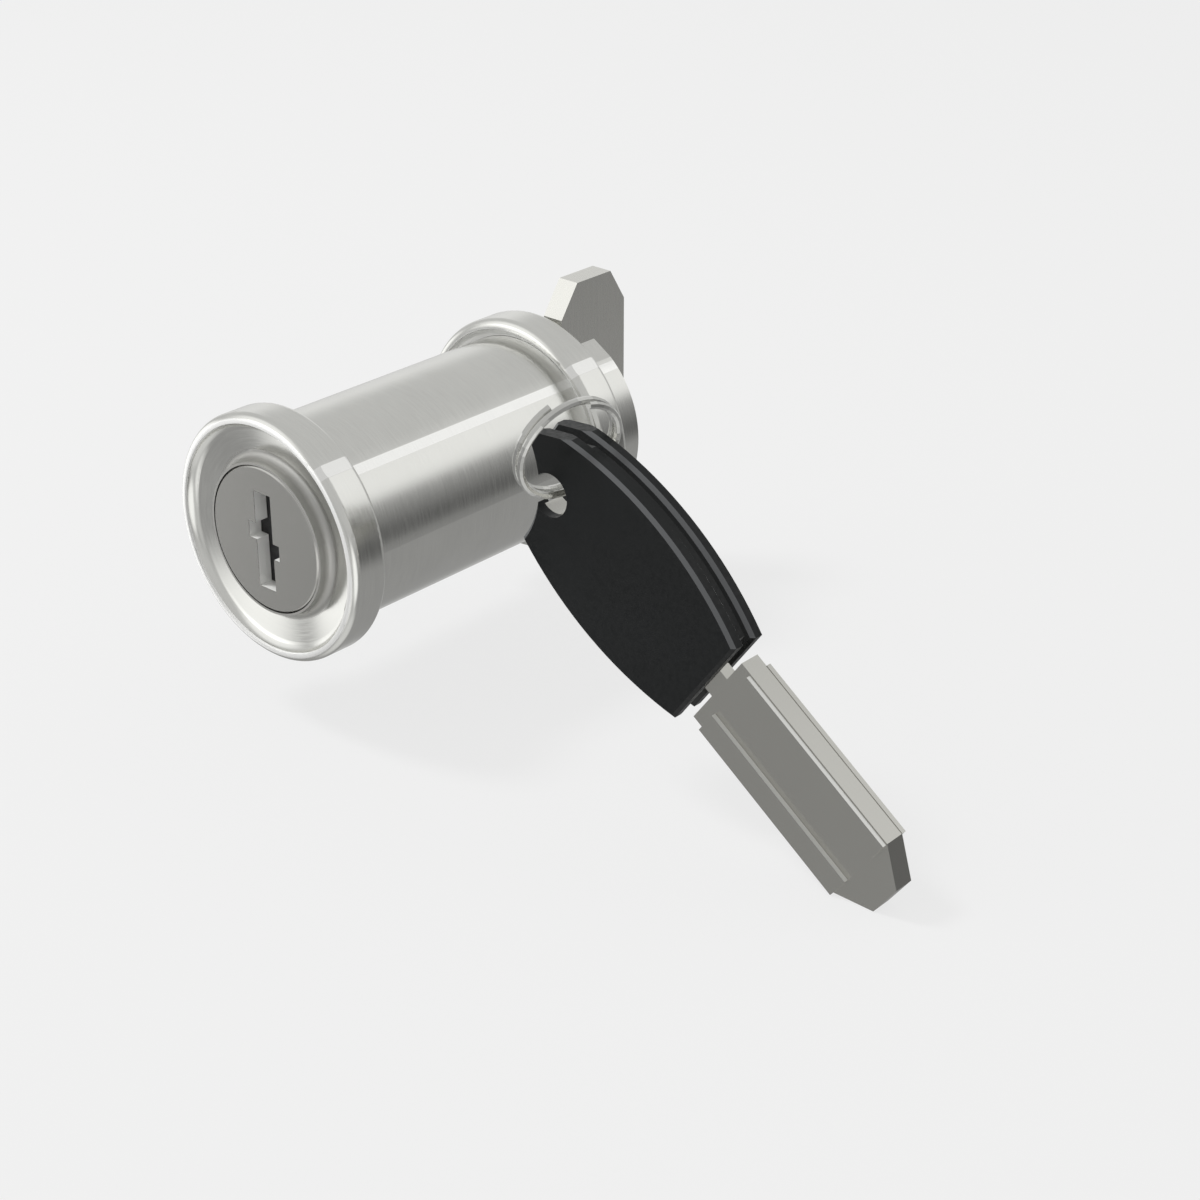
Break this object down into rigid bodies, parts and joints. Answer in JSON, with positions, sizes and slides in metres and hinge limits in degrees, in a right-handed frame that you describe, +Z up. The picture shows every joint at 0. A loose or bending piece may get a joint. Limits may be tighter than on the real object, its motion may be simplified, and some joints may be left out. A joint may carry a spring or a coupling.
{
  "type": "push-button furniture lock",
  "caption": "Cylindrical push-button lock with a dished round face, a flat bolt that rises at the rear, and its key on a small split ring.",
  "frame": {"origin": "on the barrel's axis, in the plane of the flange's back face, which rests on the panel", "axes": "+Y along the barrel from the button to the bolt, +Z up, the way the bolt rises, +X to the right seen from the front"},
  "size_m": [0.0663, 0.043, 0.0329],
  "materials": {
    "nickel": "satin nickel",
    "steel": "bright zinc",
    "brass": "plain",
    "shutter_plastic": "matt black",
    "head_plastic": "satin dark grey",
    "key_nickel": "satin nickel",
    "ring_steel": "nickel plated"
  },
  "bodies": {
    "housing": {"housing_barrel": "nickel", "front_rosette": "nickel", "rear_collar": "nickel", "rear_cap": "nickel", "cap_screws": "steel", "bolt_guide": "steel", "guide_pins": "steel", "guide_screw": "steel", "return_spring": "steel"},
    "push_button": {"button_sleeve": "nickel", "tail_fork": "steel", "tail_pin": "steel", "drive_pin": "steel"},
    "plug_body": {"plug": "nickel", "plug_cam": "brass", "plug_clip": "steel", "wafer_springs": "steel"},
    "wafer_pack": {"wafer_1": "brass", "wafer_2": "brass", "wafer_3": "brass", "wafer_4": "brass", "wafer_5": "brass"},
    "shutter": {"dust_shutter": "shutter_plastic"},
    "latch": {"latch_pin": "steel"},
    "bolt_body": {"bolt": "nickel"},
    "key": {"key_blade": "key_nickel", "key_head_front": "head_plastic", "key_head_back": "head_plastic"},
    "ring": {"key_ring": "ring_steel"}
  },
  "joints": [
    {"name": "button_press", "type": "slide", "parent": "housing", "child": "push_button", "axis": [0, 1, 0], "range_m": [-0.005, 0], "deforming": ["return_spring"]},
    {"name": "bolt_lift", "type": "slide", "parent": "housing", "child": "bolt_body", "axis": [0, 0, 1], "range_m": [-0.00375, 0]},
    {"name": "key_turn", "type": "hinge", "parent": "push_button", "child": "plug_body", "pos_m": [0, 0, 0], "axis": [0, 1, 0], "range_deg": [0, 90]},
    {"name": "latch_slide", "type": "slide", "parent": "push_button", "child": "latch", "axis": [0, 0, 1], "range_m": [0, 0.0013]},
    {"name": "wafer_lift", "type": "slide", "parent": "plug_body", "child": "wafer_pack", "axis": [0, 0, 1], "range_m": [0, 0.00055], "deforming": ["wafer_springs"]},
    {"name": "shutter_swing", "type": "hinge", "parent": "plug_body", "child": "shutter", "pos_m": [-0.0022, -0.00185, 0], "axis": [0, 0, 1], "range_deg": [0, 80]},
    {"name": "key_draw", "type": "slide", "parent": "housing", "child": "key", "axis": [0, -1, 0], "range_m": [0, 0.02]},
    {"name": "ring_swing", "type": "hinge", "parent": "key", "child": "ring", "pos_m": [0.02254, 0.00785, 0.00746], "axis": [0, 1, 0], "range_deg": [-60, 5]}
  ],
  "couplings": [
    {"joint": "bolt_lift", "follows": "button_press", "ratio": 0.75},
    {"joint": "latch_slide", "follows": "key_turn", "m_per_rad": 0.00082761}
  ]
}
